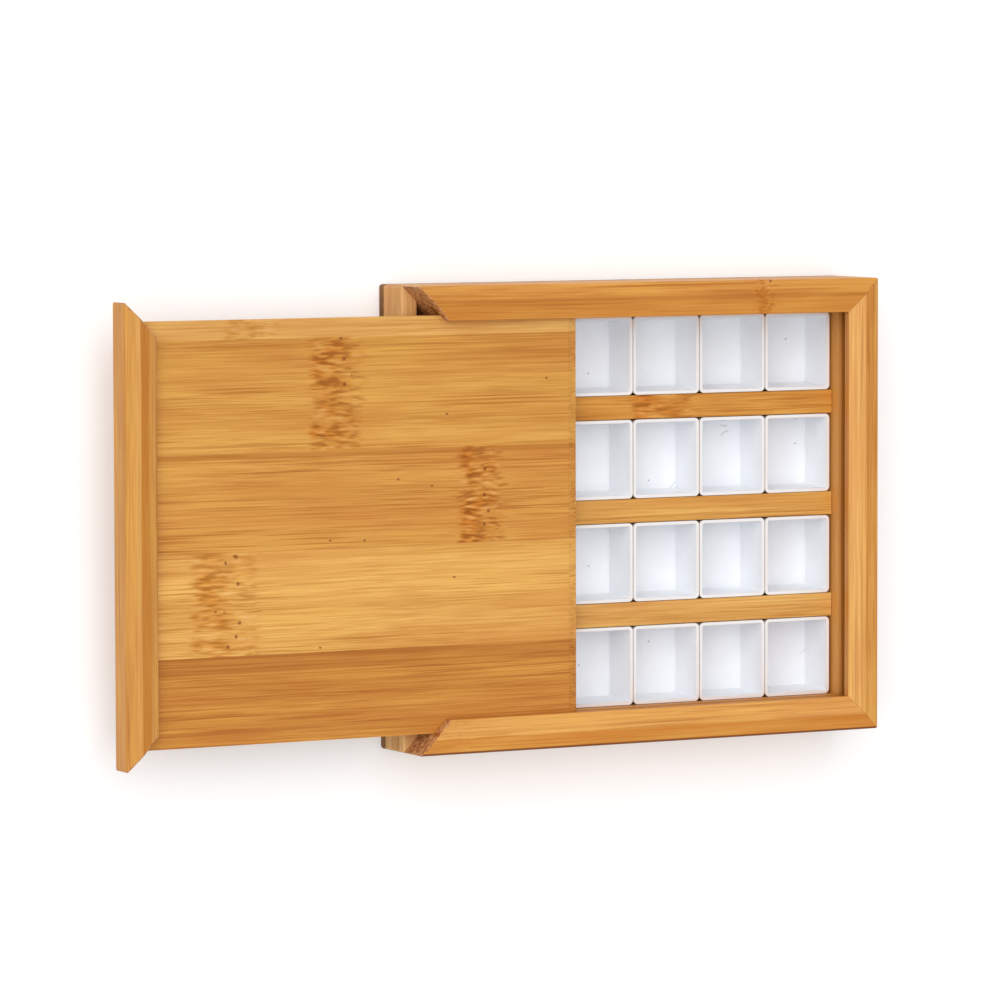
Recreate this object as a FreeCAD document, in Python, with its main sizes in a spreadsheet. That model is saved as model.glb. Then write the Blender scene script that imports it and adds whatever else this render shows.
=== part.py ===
import FreeCAD, Part
import os
import Sketcher

# Watercolour box in bamboo with a sliding lid, lying on its bottom panel.
# Millimetres. Origin at the middle of the underside, +Z up, and the lid is drawn out towards -X.
# Left and right are as seen by a person who pulls the lid: left is +Y.

COLUMNS = 6
ROWS = 4
STAVES = 5

SIZES = (
    ("box_length", 128.0, "box, front face to rear face"),
    ("box_width", 112.0, "box, side to side"),
    ("base_thick", 2.4, "bottom panel"),
    ("lid_clear", 2.9, "floor of the lid groove above the rims of the pans"),
    ("lip_thick", 2.0, "wood over the lid groove, at the frame's inner edge"),
    ("ridge_rise", 0.7, "ridge of the moulding above its outer edge"),
    ("ridge_inset", 3.9, "ridge of the moulding behind the outer face"),
    ("lip_drop", 0.3, "inner edge of the moulding below its outer edge"),
    ("frame_width", 8.4, "frame member, outer face to inner face"),
    ("groove_depth", 3.4, "lid groove, into the inner face"),
    ("arris_round", 0.5, "softened outer edges"),
    ("lip_round", 0.25, "softened inner edges"),
    ("corner_round", 0.8, "sanded upright corners of the box"),
    ("front_thick", 4.0, "low front wall"),
    ("front_gap", 2.3, "between the low front wall and the batten, when shut"),
    ("batten_lip", 0.8, "wood under the lid's end, in the batten"),
    ("batten_gap", 1.25, "batten short of the full width, at each end"),
    ("lid_thick", 2.7, "lid panel"),
    ("lid_lift", 0.1, "lid panel above the groove's floor"),
    ("lid_headroom", 0.2, "lid panel below the groove's roof"),
    ("lid_play", 1.1, "lid panel short of the groove's back, at each side"),
    ("lid_shift", 1.0, "lid pushed over to the right within its play"),
    ("lid_reach", 0.85, "lid panel's far end in the rear groove when shut"),
    ("lid_opening", 76.3, "lid drawn out from shut, as it stands here"),
    ("lid_bevel_run", 2.3, "sanded bevel on the lid's far end, along the lid"),
    ("lid_bevel_drop", 0.5, "sanded bevel on the lid's far end, in height"),
    ("stave_1", 4.6, "first stave of the lid, from the left"),
    ("stave_2", 26.6, "second stave"),
    ("stave_3", 23.2, "third stave"),
    ("stave_4", 24.4, "fourth stave"),
    ("slat_width", 5.8, "divider slat"),
    ("slat_rise", 0.1, "divider slat above the rims of the pans"),
    ("slat_gap", 0.2, "slat short of the wall, at each end"),
    ("slat_round", 0.3, "softened top edges of a slat"),
    ("pan_height", 9.8, "paint pan"),
    ("pan_wall", 0.75, "wall and floor of a pan"),
    ("pan_draft", 5.0, "draft of a pan's walls, in degrees"),
    ("pan_corner", 1.2, "upright corners of a pan, outside"),
    ("pan_inner_round", 0.5, "upright corners of a pan, inside"),
    ("pan_gap", 0.2, "between two pans of a row, at the rim"),
    ("row_play", 0.12, "between a pan's rim and the slat or wall beside it"),
    ("front_space", 3.1, "between the front wall and the first pans"),
    ("rear_space", 0.8, "between the last pans and the rear wall"),
)

# Sizes that follow from those above, each written once.
FITS = (
    ("inner_width", "Sizes.box_width - 2 * Sizes.frame_width"),
    ("inner_length", "Sizes.box_length - Sizes.front_thick - Sizes.frame_width"),
    ("rim_height", "Sizes.base_thick + Sizes.pan_height"),
    ("slat_top", "Fits.rim_height + Sizes.slat_rise"),
    ("groove_floor", "Fits.rim_height + Sizes.lid_clear"),
    ("lid_floor", "Fits.groove_floor + Sizes.lid_lift"),
    ("groove_roof", "Fits.lid_floor + Sizes.lid_thick + Sizes.lid_headroom"),
    ("lip_height", "Fits.groove_roof + Sizes.lip_thick"),
    ("arris_height", "Fits.lip_height + Sizes.lip_drop"),
    ("ridge_height", "Fits.arris_height + Sizes.ridge_rise"),
    ("batten_foot", "Fits.groove_floor - Sizes.batten_lip"),
    ("front_top", "Fits.batten_foot - Sizes.front_gap"),
    ("web", "Sizes.frame_width - Sizes.groove_depth"),
    ("lid_width", "Sizes.box_width - 2 * Fits.web - 2 * Sizes.lid_play"),
    ("lid_length", "Sizes.box_length - Sizes.frame_width + Sizes.lid_reach - Fits.web"),
    ("lid_start", "-Sizes.box_length / 2 - Sizes.lid_opening + Fits.web"),
    ("batten_length", "Sizes.box_width - 2 * Sizes.batten_gap"),
    ("pan_pitch", f"(Fits.inner_length - Sizes.front_space - Sizes.rear_space + Sizes.pan_gap) / {COLUMNS}"),
    ("pan_length", "Fits.pan_pitch - Sizes.pan_gap"),
    ("pan_width", f"(Fits.inner_width - {ROWS - 1} * Sizes.slat_width) / {ROWS} - 2 * Sizes.row_play"),
    ("row_pitch", "Fits.pan_width + Sizes.slat_width + 2 * Sizes.row_play"),
    ("slat_length", "Fits.inner_length - 2 * Sizes.slat_gap"),
    ("tray_middle", "(Sizes.front_thick - Sizes.frame_width) / 2"),
)

CUT_MARGIN = "1"          # how far a cutting sketch runs past the wood
NEAR = 1e-3               # two places closer than this are one

doc = FreeCAD.newDocument("WatercolourBox")


def write_sizes():
    """Spreadsheet of the driving dimensions: name, plain number and meaning."""
    sheet = doc.addObject("Spreadsheet::Sheet", "Sizes")
    for row, (alias, value, meaning) in enumerate(SIZES, start=1):
        sheet.set(f"A{row}", alias)
        sheet.set(f"B{row}", str(value))
        sheet.set(f"C{row}", meaning)
        sheet.setAlias(f"B{row}", alias)
    doc.recompute()


def write_fits():
    """Variable set of the sizes that follow from the sheet."""
    variables = doc.addObject("App::VarSet", "Fits")
    for name, expression in FITS:
        variables.addProperty("App::PropertyFloat", name, "Fits")
        variables.setExpression(name, expression)
        doc.recompute()
    return variables


write_sizes()
fits = write_fits()


def amount(expression):
    """Present value of an expression, in millimetres or degrees."""
    value = fits.evalExpression(expression)
    return float(getattr(value, "Value", value))


def origin_plane(body, role):
    """One of the body's own three planes, such as XY_Plane."""
    for feature in body.Origin.OriginFeatures:
        if feature.Role == role:
            return feature
    raise ValueError(f"{body.Label} has no {role}")


def new_body(label):
    """Empty body whose label names the sub-part."""
    body = doc.addObject("PartDesign::Body", label)
    body.Label = label
    return body


def set_place(body, turn=0, east="0", north="0", up="0"):
    """Turn about the upright in degrees, and a position tied to the sizes."""
    upright = FreeCAD.Vector(0, 0, 1)
    body.Placement = FreeCAD.Placement(FreeCAD.Vector(), FreeCAD.Rotation(upright, turn))
    for axis, expression in (("x", east), ("y", north), ("z", up)):
        body.setExpression(f"Placement.Base.{axis}", expression)


def hold_point(sketch, side, across, along):
    """Hold the start of one side of a sketch at a place given by two expressions."""
    for kind, axis, expression in (("DistanceX", -2, across), ("DistanceY", -1, along)):
        if expression == "0":
            sketch.addConstraint(Sketcher.Constraint("PointOnObject", side, 1, axis))
        else:
            distance = Sketcher.Constraint(kind, -1, 1, side, 1, amount(expression))
            number = sketch.addConstraint(distance)
            sketch.setExpression(f"Constraints[{number}]", expression)


def outline(body, name, role, corners, closing_arc=None):
    """Closed sketch through corners, each a pair of expressions, on one of the body's planes.

    The side from the last corner to the first is straight, or an anticlockwise arc when its
    centre and radius are given.
    """
    sketch = body.newObject("Sketcher::SketchObject", name)
    sketch.AttachmentSupport = (origin_plane(body, role), [""])
    sketch.MapMode = "FlatFace"
    points = [FreeCAD.Vector(amount(across), amount(along), 0) for across, along in corners]
    for here, there in zip(points, points[1:]):
        sketch.addGeometry(Part.LineSegment(here, there), False)
    if closing_arc:
        centre, radius = closing_arc
        middle = FreeCAD.Vector(amount(centre[0]), amount(centre[1]), 0)
        circle = Part.Circle(middle, FreeCAD.Vector(0, 0, 1), amount(radius))
        last_side = Part.ArcOfCircle(circle, circle.parameter(points[-1]), circle.parameter(points[0]))
    else:
        last_side = Part.LineSegment(points[-1], points[0])
    sketch.addGeometry(last_side, False)
    for side, (across, along) in enumerate(corners):
        following = (side + 1) % len(corners)
        sketch.addConstraint(Sketcher.Constraint("Coincident", side, 2, following, 1))
        hold_point(sketch, side, across, along)
    if closing_arc:
        last = len(corners) - 1
        number = sketch.addConstraint(Sketcher.Constraint("Radius", last, amount(radius)))
        sketch.setExpression(f"Constraints[{number}]", radius)
    return sketch


def rectangle(body, name, role, width, height):
    """Rectangle about the plane's origin."""
    right = f"({width}) / 2"
    top = f"({height}) / 2"
    corners = ((f"-{right}", f"-{top}"), (right, f"-{top}"), (right, top), (f"-{right}", top))
    return outline(body, name, role, corners)


def pad(body, sketch, name, length, sides="One side", downwards=False):
    """Solid raised from a sketch."""
    solid = body.newObject("PartDesign::Pad", name)
    solid.Profile = sketch
    solid.SideType = sides
    solid.Reversed = downwards
    solid.setExpression("Length", length)
    doc.recompute()
    return solid


def pocket(body, sketch, name, length, upwards=False):
    """Hollow cut from a sketch, which must take something away."""
    before = body.Shape.Volume
    hollow = body.newObject("PartDesign::Pocket", name)
    hollow.Profile = sketch
    hollow.Reversed = upwards
    hollow.setExpression("Length", length)
    doc.recompute()
    if body.Shape.Volume > before - NEAR:
        raise ValueError(f"{body.Label}: {name} cuts nothing")
    return hollow


def fillet(body, base, name, edges, radius):
    """Rounded edges of a feature."""
    if not edges:
        raise ValueError(f"{body.Label}: {name} finds no edge")
    rounding = body.newObject("PartDesign::Fillet", name)
    rounding.Base = (base, edges)
    rounding.setExpression("Radius", radius)
    doc.recompute()
    return rounding


def draft(body, base, name, faces, neutral, inwards):
    """Moulding draft on a feature's upright faces, which keep their size at the neutral plane."""
    slope = body.newObject("PartDesign::Draft", name)
    slope.Base = (base, faces)
    slope.NeutralPlane = neutral
    slope.Reversed = inwards
    slope.setExpression("Angle", "Sizes.pan_draft")
    doc.recompute()
    return slope


def lengthwise_edges(shape, places):
    """Edges along x whose middle lies at one of the places (y, z), given as expressions."""
    spots = [(amount(across), amount(up)) for across, up in places]
    names = []
    for number, edge in enumerate(shape.Edges, start=1):
        box = edge.BoundBox
        at_a_spot = any(
            abs(box.Center.y - across) < NEAR and abs(box.Center.z - up) < NEAR for across, up in spots
        )
        if at_a_spot and box.YLength < NEAR and box.ZLength < NEAR:
            names.append(f"Edge{number}")
    return names


def edges_between(shape, low, high):
    """Edges that reach from one height to another, given in millimetres."""
    names = []
    for number, edge in enumerate(shape.Edges, start=1):
        ends = sorted((edge.Vertexes[0].Z, edge.Vertexes[-1].Z))
        if abs(ends[0] - low) < NEAR and abs(ends[1] - high) < NEAR:
            names.append(f"Edge{number}")
    return names


def upright_faces(shape):
    """Flat faces that stand exactly upright."""
    names = []
    for number, face in enumerate(shape.Faces, start=1):
        flat = face.Surface.TypeId == "Part::GeomPlane"
        if flat and abs(face.Surface.Axis.z) < NEAR:
            names.append(f"Face{number}")
    return names


def level_face(shape, height):
    """The flat face at one height, given in millimetres."""
    for number, face in enumerate(shape.Faces, start=1):
        if abs(face.CenterOfMass.z - height) < NEAR:
            return f"Face{number}"
    raise ValueError(f"no face at {height}")


# Frame. Each member is drawn with its outer face on y = 0, its inner face towards +y and its
# length along x, so that one section serves the side walls, the rear wall and the batten.

def moulding(foot):
    """Section of the frame: a ridged top over the lid groove, down to the foot."""
    return (
        ("0", foot),
        ("0", "Fits.arris_height"),
        ("Sizes.ridge_inset", "Fits.ridge_height"),
        ("Sizes.frame_width", "Fits.lip_height"),
        ("Sizes.frame_width", "Fits.groove_roof"),
        ("Fits.web", "Fits.groove_roof"),
        ("Fits.web", "Fits.groove_floor"),
        ("Sizes.frame_width", "Fits.groove_floor"),
        ("Sizes.frame_width", foot),
    )


def mitre_ends(body, length):
    """Cut both ends at 45 degrees, and round the upright edge that two members share."""
    tip = f"({length}) / 2"
    past_tip = f"{tip} + {CUT_MARGIN}"
    past_wood = f"(Sizes.frame_width + {CUT_MARGIN})"
    before_wood = f"-{CUT_MARGIN}"
    height = f"Fits.ridge_height + {CUT_MARGIN}"
    wedge = outline(body, "MitreLine", "XY_Plane", (
        (past_tip, before_wood),
        (past_tip, past_wood),
        (f"{tip} - {past_wood}", past_wood),
    ))
    mitre = pocket(body, wedge, "Mitre", height, upwards=True)
    arc_start = f"{tip} - Sizes.corner_round"
    corner = outline(body, "CornerLine", "XY_Plane", (
        (tip, "Sizes.corner_round"),
        (past_tip, "Sizes.corner_round"),
        (past_tip, before_wood),
        (arc_start, before_wood),
        (arc_start, "0"),
    ), closing_arc=((arc_start, "Sizes.corner_round"), "Sizes.corner_round"))
    rounding = pocket(body, corner, "CornerRound", height, upwards=True)
    both_ends = body.newObject("PartDesign::Mirrored", "OtherEnd")
    both_ends.Originals = [mitre, rounding]
    both_ends.MirrorPlane = (origin_plane(body, "YZ_Plane"), [""])
    body.Tip = both_ends
    doc.recompute()


def frame_member(label, section, length, outer_edges, inner_edges):
    """Mitred length of a section, with softened edges."""
    body = new_body(label)
    profile = outline(body, "Section", "YZ_Plane", section)
    bar = pad(body, profile, "Bar", length, sides="Symmetric")
    outer = lengthwise_edges(bar.Shape, outer_edges)
    softened = fillet(body, bar, "OuterEdges", outer, "Sizes.arris_round")
    inner = lengthwise_edges(softened.Shape, inner_edges)
    fillet(body, softened, "InnerEdges", inner, "Sizes.lip_round")
    mitre_ends(body, length)
    return body


def moulded_member(label, foot, length):
    """Length of the grooved moulding, from a foot upwards."""
    outer_edges = (("0", "Fits.arris_height"),)
    inner_edges = (("Sizes.frame_width", "Fits.lip_height"), ("Sizes.frame_width", "Fits.groove_roof"))
    return frame_member(label, moulding(foot), length, outer_edges, inner_edges)


def make_walls():
    """The two side walls, the rear wall and the low front wall that the lid passes over."""
    left = moulded_member("side_wall_left", "Sizes.base_thick", "Sizes.box_length")
    set_place(left, turn=180, north="Sizes.box_width / 2")
    right = moulded_member("side_wall_right", "Sizes.base_thick", "Sizes.box_length")
    set_place(right, turn=0, north="-Sizes.box_width / 2")
    rear = moulded_member("rear_wall", "Sizes.base_thick", "Sizes.box_width")
    set_place(rear, turn=90, east="Sizes.box_length / 2")
    low_section = (
        ("0", "Sizes.base_thick"),
        ("0", "Fits.front_top"),
        ("Sizes.front_thick", "Fits.front_top"),
        ("Sizes.front_thick", "Sizes.base_thick"),
    )
    top_outside = (("0", "Fits.front_top"),)
    top_inside = (("Sizes.front_thick", "Fits.front_top"),)
    front = frame_member("front_wall", low_section, "Sizes.box_width", top_outside, top_inside)
    set_place(front, turn=-90, east="-Sizes.box_length / 2")
    return [left, right, rear, front]


def make_bottom():
    """Thin bottom panel, glued under the walls and flush with their outer faces."""
    body = new_body("bottom_panel")
    sheet = rectangle(body, "Board", "XY_Plane", "Sizes.box_length", "Sizes.box_width")
    board = pad(body, sheet, "Thickness", "Sizes.base_thick")
    corners = edges_between(board.Shape, 0, amount("Sizes.base_thick"))
    fillet(body, board, "Corners", corners, "Sizes.corner_round")
    set_place(body)
    return [body]


def make_slats():
    """Divider slats, one between each two rows of pans, standing on the bottom panel."""
    slats = []
    for number in range(1, ROWS):
        body = new_body(f"divider_slat_{number}")
        half = "Sizes.slat_width / 2"
        tall = "Fits.slat_top - Sizes.base_thick"
        section = outline(body, "Section", "YZ_Plane", (
            (f"-{half}", "0"),
            (half, "0"),
            (half, tall),
            (f"-{half}", tall),
        ))
        bar = pad(body, section, "Bar", "Fits.slat_length", sides="Symmetric")
        top_edges = lengthwise_edges(bar.Shape, ((half, tall), (f"-{half}", tall)))
        fillet(body, bar, "TopEdges", top_edges, "Sizes.slat_round")
        row_line = f"Fits.row_pitch * {ROWS / 2 - number}"
        set_place(body, east="Fits.tray_middle", north=row_line, up="Sizes.base_thick")
        slats.append(body)
    return slats


# Lid. It rides in the grooves of both side walls, and its far end enters the rear wall's groove.

def make_batten():
    """Pull batten: the top of the frame's front member, glued over the lid's near end."""
    body = moulded_member("lid_batten", "Fits.batten_foot", "Fits.batten_length")
    set_place(body, turn=-90, east="-Sizes.box_length / 2 - Sizes.lid_opening", north="-Sizes.lid_shift")
    return [body]


def make_staves():
    """Bamboo staves glued edge to edge into the lid panel, the first at the left."""
    named = [f"Sizes.stave_{number}" for number in range(1, STAVES)]
    widths = named + [f"(Fits.lid_width - {' - '.join(named)})"]
    staves = []
    taken = "0"
    for number, width in enumerate(widths, start=1):
        body = new_body(f"lid_stave_{number}")
        side_view = outline(body, "SideView", "XZ_Plane", (
            ("0", "0"),
            ("Fits.lid_length", "0"),
            ("Fits.lid_length", "Sizes.lid_thick - Sizes.lid_bevel_drop"),
            ("Fits.lid_length - Sizes.lid_bevel_run", "Sizes.lid_thick"),
            ("0", "Sizes.lid_thick"),
        ))
        pad(body, side_view, "Width", width, sides="Symmetric")
        centre_line = f"Fits.lid_width / 2 - Sizes.lid_shift - ({taken}) - {width} / 2"
        set_place(body, east="Fits.lid_start", north=centre_line, up="Fits.lid_floor")
        staves.append(body)
        taken = f"{taken} + {width}"
    return staves


# Paint pans, moulded with draft inside and out, six to a row.

def make_pan(label, column, row):
    """One pan. It is drawn with its rim on z = 0 and its floor below."""
    body = new_body(label)
    depth = "(Sizes.pan_height - Sizes.pan_wall)"
    floor_level = -amount(depth)
    foot_level = -amount("Sizes.pan_height")
    taken_in = f"2 * (Sizes.pan_wall + {depth} * tan(Sizes.pan_draft * 1 deg))"
    rim = rectangle(body, "Rim", "XY_Plane", "Fits.pan_length", "Fits.pan_width")
    block = pad(body, rim, "Block", "Sizes.pan_height", downwards=True)
    rim_plane = (origin_plane(body, "XY_Plane"), [""])
    tapered = draft(body, block, "OuterDraft", upright_faces(block.Shape), rim_plane, inwards=True)
    outer_corners = edges_between(tapered.Shape, foot_level, 0)
    rounded = fillet(body, tapered, "OuterCorners", outer_corners, "Sizes.pan_corner")
    floor_width = f"Fits.pan_width - {taken_in}"
    floor = rectangle(body, "Floor", "XY_Plane", f"Fits.pan_length - {taken_in}", floor_width)
    hollow = pocket(body, floor, "Hollow", depth)
    floor_plane = (hollow, [level_face(hollow.Shape, floor_level)])
    opened = draft(body, hollow, "InnerDraft", upright_faces(hollow.Shape), floor_plane, inwards=False)
    inner_corners = edges_between(opened.Shape, floor_level, 0)
    fillet(body, opened, "InnerCorners", inner_corners, "Sizes.pan_inner_round")
    first = "Sizes.front_thick - Sizes.box_length / 2 + Sizes.front_space + Fits.pan_length / 2"
    set_place(
        body,
        east=f"{first} + {column} * Fits.pan_pitch",
        north=f"{(ROWS - 1) / 2 - row} * Fits.row_pitch",
        up="Fits.rim_height",
    )
    return body


def make_pans():
    """Every pan, named by row from the left and by column from the front."""
    pans = []
    for row in range(ROWS):
        for column in range(COLUMNS):
            pans.append(make_pan(f"pan_row{row + 1}_col{column + 1}", column, row))
    return pans


def check_and_write(bodies):
    """Stop at a failed object or shape, then write one STEP file for each sub-part."""
    doc.recompute()
    for item in doc.Objects:
        if "Invalid" in item.State or "Error" in item.State:
            raise ValueError(f"{item.Label} did not compute: {item.State}")
    for body in bodies:
        if body.Shape.isNull() or not body.Shape.isValid() or len(body.Shape.Solids) != 1:
            raise ValueError(f"{body.Label} is not one valid solid")
    os.makedirs("parts", exist_ok=True)
    for body in bodies:
        body.Shape.exportStep(f"parts/{body.Label}.step")
        print(body.Label, round(body.Shape.Volume, 2))


check_and_write(make_bottom() + make_walls() + make_slats() + make_batten() + make_staves() + make_pans())
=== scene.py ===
import math
from functools import partial

import bpy
from bpy.props import FloatProperty, FloatVectorProperty, PointerProperty
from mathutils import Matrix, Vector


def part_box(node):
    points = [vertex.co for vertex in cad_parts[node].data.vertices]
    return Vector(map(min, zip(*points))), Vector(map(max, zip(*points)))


bl_info = {
    "name": "Watercolour box with a sliding lid",
    "version": (1, 0, 0),
    "blender": (4, 5, 0),
    "location": "3D View > Sidebar > Paint Box",
    "description": "Finishes for a bamboo watercolour box, its sliding lid and its white pans",
    "category": "Object",
}

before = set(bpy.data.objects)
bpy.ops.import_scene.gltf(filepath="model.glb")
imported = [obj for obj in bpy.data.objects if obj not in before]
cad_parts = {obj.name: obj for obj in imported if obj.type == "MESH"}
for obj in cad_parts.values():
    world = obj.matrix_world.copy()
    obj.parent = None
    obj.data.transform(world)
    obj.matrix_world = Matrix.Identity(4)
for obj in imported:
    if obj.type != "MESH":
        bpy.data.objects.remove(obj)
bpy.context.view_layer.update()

MM = 0.001             # a millimetre in metres

# Sizes that the finishes follow, in millimetres.
FRAME_WIDTH = 8.4      # the moulded walls, across the top
RIDGE_INSET = 3.9      # ridge of the moulding behind the outer face
ARRIS_LEVEL = 1.3      # a little under the outer arris, down from the ridge
GROOVE_WEB = 5.0       # wood behind the lid groove
GROOVE_HALF = 1.6      # half the height of the lid groove
PAN_WALL = 0.75
BUMP_DEPTH = 0.06      # relief of the finest marks

WHITE = (1.0, 1.0, 1.0, 1.0)
KEY_SPREAD = 80                                 # degrees
KEY_TURN = (-18, -28, 0)                        # degrees
CAMERA_PLACE = (-0.68024, 0.09882, 1.2202)      # metres
CAMERA_TURN = (-3.88984, -28.01459, -0.16614)   # degrees


def from_hex(code):
    """Linear colour of an sRGB hex code."""
    parts = [int(code[i:i + 2], 16) / 255 for i in (0, 2, 4)]
    return tuple(p / 12.92 if p <= 0.04045 else ((p + 0.055) / 1.055) ** 2.4 for p in parts)


def opaque(colour):
    """A colour with full alpha, as a node's socket takes it."""
    return (*colour[:3], 1.0)


def tinted(colour, tint):
    """A colour times a tint, channel by channel."""
    return tuple(c * t for c, t in zip(colour, tint))


def corners(node):
    """Lowest and highest corners of a CAD node at rest, in millimetres."""
    low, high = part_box(node)
    return low / MM, high / MM


# Settings.

def colour_setting(name, description, code):
    """A colour that the user may change, given as an sRGB hex code."""
    return FloatVectorProperty(
        name=name, description=description, subtype="COLOR", size=3, min=0.0, max=1.0,
        default=from_hex(code))


class BambooSettings(bpy.types.PropertyGroup):
    """Colours and grain of the strip bamboo that the box is made of."""

    pith: colour_setting("Pith", "Soft tissue between the fibre bundles", "e9ae58")
    fibre: colour_setting("Fibre", "Fibre bundles, seen as fine lines along the grain", "b86f1f")
    yellow: colour_setting("Yellow wood", "Yellower stretches of a stave", "e6ab50")
    red: colour_setting("Red wood", "Redder stretches of a stave", "cb8138")
    line: colour_setting("Dark line", "Deeper lines where a bundle was planed open", "ad661c")
    stain: colour_setting("Stain", "Orange-brown stain across a node, and of some strips", "cc7b20")
    knot: colour_setting("Node", "Wavy strokes across a culm's node", "9c5608")
    fleck: colour_setting("Fleck", "Pale flecks between the strokes of a node", "f2c07c")
    # The pit colour also paints the shade along the right wall's outer arris.
    pit: colour_setting("Pit", "Dark pits in a node, pinholes and the burnt arris", "6e3208")
    # The groove colour is painted shade, laid on the groove faces where little light reaches.
    groove: colour_setting("Groove", "Rough faces of the lid groove", "ae6d2c")
    cut: colour_setting("Saw cut", "Rough brown face left by the mitre saw", "985826")
    torn: colour_setting("Torn fibre", "Pale fibre ends torn out by the mitre saw", "daa06c")
    fibre_spacing: FloatProperty(
        name="Fibre spacing", description="From one fine line to the next, across the grain",
        default=0.72 * MM, min=0.2 * MM, max=3 * MM, precision=5, unit="LENGTH")
    fibre_length: FloatProperty(
        name="Fibre length", description="How far a line runs before it fades",
        default=85 * MM, min=5 * MM, max=200 * MM, precision=4, unit="LENGTH")


class PanSettings(bpy.types.PropertyGroup):
    """Plastic of the paint pans."""

    plastic: colour_setting("Plastic", "White polystyrene", "eff1f5")
    # Painted warm light on the pan rims, standing in for light from the bamboo beside them.
    rubbed: colour_setting("Rim", "Rims, rubbed and a little warmer", "f3e6de")
    speck: colour_setting("Speck", "Dust and hairs on the floors of the pans", "8f8a8c")


class StageSettings(bpy.types.PropertyGroup):
    """Floor, light and camera."""

    floor: colour_setting("Floor", "Pale table under the box", "f4f4f4")
    tooth: colour_setting("Tooth", "Shade in the tooth of the floor's paper", "cbcbcb")
    floor_size: FloatProperty(
        name="Floor size", description="Side of the square floor", default=6.0, min=1.0, unit="LENGTH")
    key_strength: FloatProperty(
        name="Key light", description="Strength of the soft key light", default=2.15, min=0.0)
    fill_strength: FloatProperty(
        name="Fill", description="Strength of the even light from all round", default=0.47, min=0.0)
    lens: FloatProperty(
        name="Lens", description="Focal length in millimetres on a 36 mm wide frame", default=205.08,
        min=20.0)


class PaintBoxSettings(bpy.types.PropertyGroup):
    """Every setting of the paint box."""

    bamboo: PointerProperty(
        name="Bamboo", description="Colours and grain of the wood", type=BambooSettings)
    pans: PointerProperty(name="Pans", description="Plastic of the paint pans", type=PanSettings)
    stage: PointerProperty(name="Stage", description="Floor, light and camera", type=StageSettings)


def settings():
    """The scene's settings of this add-on."""
    return bpy.context.scene.paint_box_settings


# Materials.

def add_node(tree, kind, inputs=None, **options):
    """Add a node, set its options, and set or link its inputs.

    inputs maps an input's name or number to a value, to an output, or to a node whose first output
    is used.
    """
    node = tree.nodes.new(kind)
    for name, value in options.items():
        setattr(node, name, value)
    for key, value in (inputs or {}).items():
        if isinstance(value, bpy.types.Node):
            value = value.outputs[0]
        if isinstance(value, bpy.types.NodeSocket):
            tree.links.new(value, node.inputs[key])
        else:
            node.inputs[key].default_value = value
    return node


def per_feature(along, across):
    """Mapping scale at which one unit of a pattern is a feature this long and wide, in millimetres."""
    return (1 / along, 1 / across, 1 / across)


def rays_to_white(tree):
    """Rays that show the white room: straight ones, mirrored ones and ones through glass."""
    path = add_node(tree, "ShaderNodeLightPath")
    return add_node(tree, "ShaderNodeMath", {
        0: path.outputs["Is Camera Ray"],
        1: add_node(tree, "ShaderNodeMath", {
            0: path.outputs["Is Glossy Ray"],
            1: path.outputs["Is Transmission Ray"],
        }, operation="MAXIMUM"),
    }, operation="MAXIMUM")


class Surface:
    """A material while it is built up, layer by layer, on places in the box's own millimetres."""

    def __init__(self, name):
        self.material = bpy.data.materials.new(name)
        self.material.use_nodes = True
        self.tree = self.material.node_tree
        self.tree.nodes.clear()
        self.add = partial(add_node, self.tree)
        coordinates = self.add("ShaderNodeTexCoord")
        self.places = self.add("ShaderNodeVectorMath", {
            0: coordinates.outputs["Object"],
            1: (1 / MM, 1 / MM, 1 / MM),
        }, operation="MULTIPLY")
        self.axes = self.add("ShaderNodeSeparateXYZ", {0: self.places})
        self.colour = None
        self.height = None

    def stain(self, mask, colour, relief=0.0):
        """Lay a colour over the surface where the mask is 1, and raise or sink the surface there."""
        over = self.add("ShaderNodeMix", {0: mask, 6: self.colour, 7: opaque(colour)}, data_type="RGBA")
        self.colour = over.outputs["Result"]
        if relief:
            self.height = self.add("ShaderNodeMath", {
                0: mask, 1: relief, 2: self.height,
            }, operation="MULTIPLY_ADD")

    def apart(self, first, second):
        """Distance between two values."""
        return self.add("ShaderNodeMath", {
            0: self.add("ShaderNodeMath", {0: first, 1: second}, operation="SUBTRACT"),
        }, operation="ABSOLUTE")

    def shade(self, bump, finish):
        """Close the material with a shader whose own sockets hold the finish."""
        relief = self.add("ShaderNodeBump", {
            "Strength": bump,
            "Distance": BUMP_DEPTH * MM,
            "Height": self.height,
        })
        shader = self.add("ShaderNodeBsdfPrincipled", {
            "Base Color": self.colour, "Normal": relief, **finish,
        })
        self.add("ShaderNodeOutputMaterial", {"Surface": shader})
        return self.material


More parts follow.
